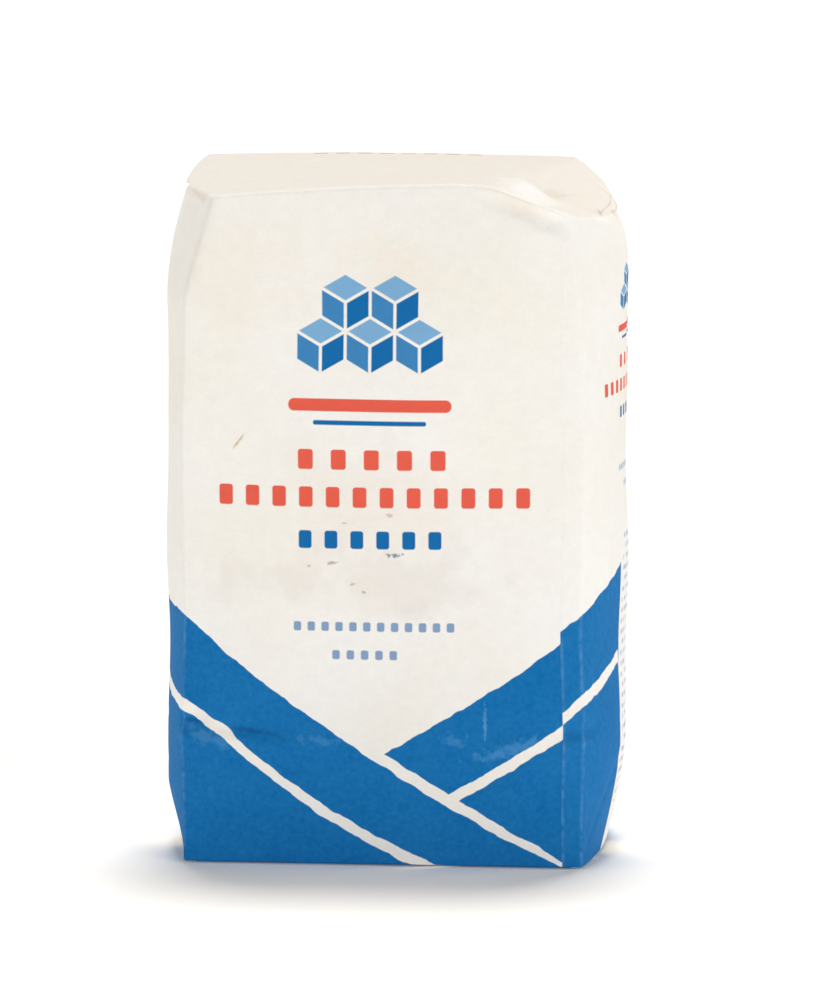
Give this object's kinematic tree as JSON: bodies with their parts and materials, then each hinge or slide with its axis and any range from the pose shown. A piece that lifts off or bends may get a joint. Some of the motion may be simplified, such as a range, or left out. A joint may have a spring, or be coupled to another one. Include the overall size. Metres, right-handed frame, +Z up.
{
  "type": "paper bag of sugar",
  "caption": "Shut block-bottom paper bag full of sugar, with swollen panels, a folded flat top and a long glued seam.",
  "frame": {"origin": "middle of the base, on the surface that the bag stands on", "axes": "+Z up the bag to its folded top, -Y out of its front panel, +X towards the side panel beside the glued seam"},
  "size_m": [0.1108, 0.0774, 0.1669],
  "materials": {
    "paper": "matt off-white printed kraft paper, blue over its lower part"
  },
  "bodies": {
    "root": {"sugar_bag": "paper"}
  },
  "joints": []
}
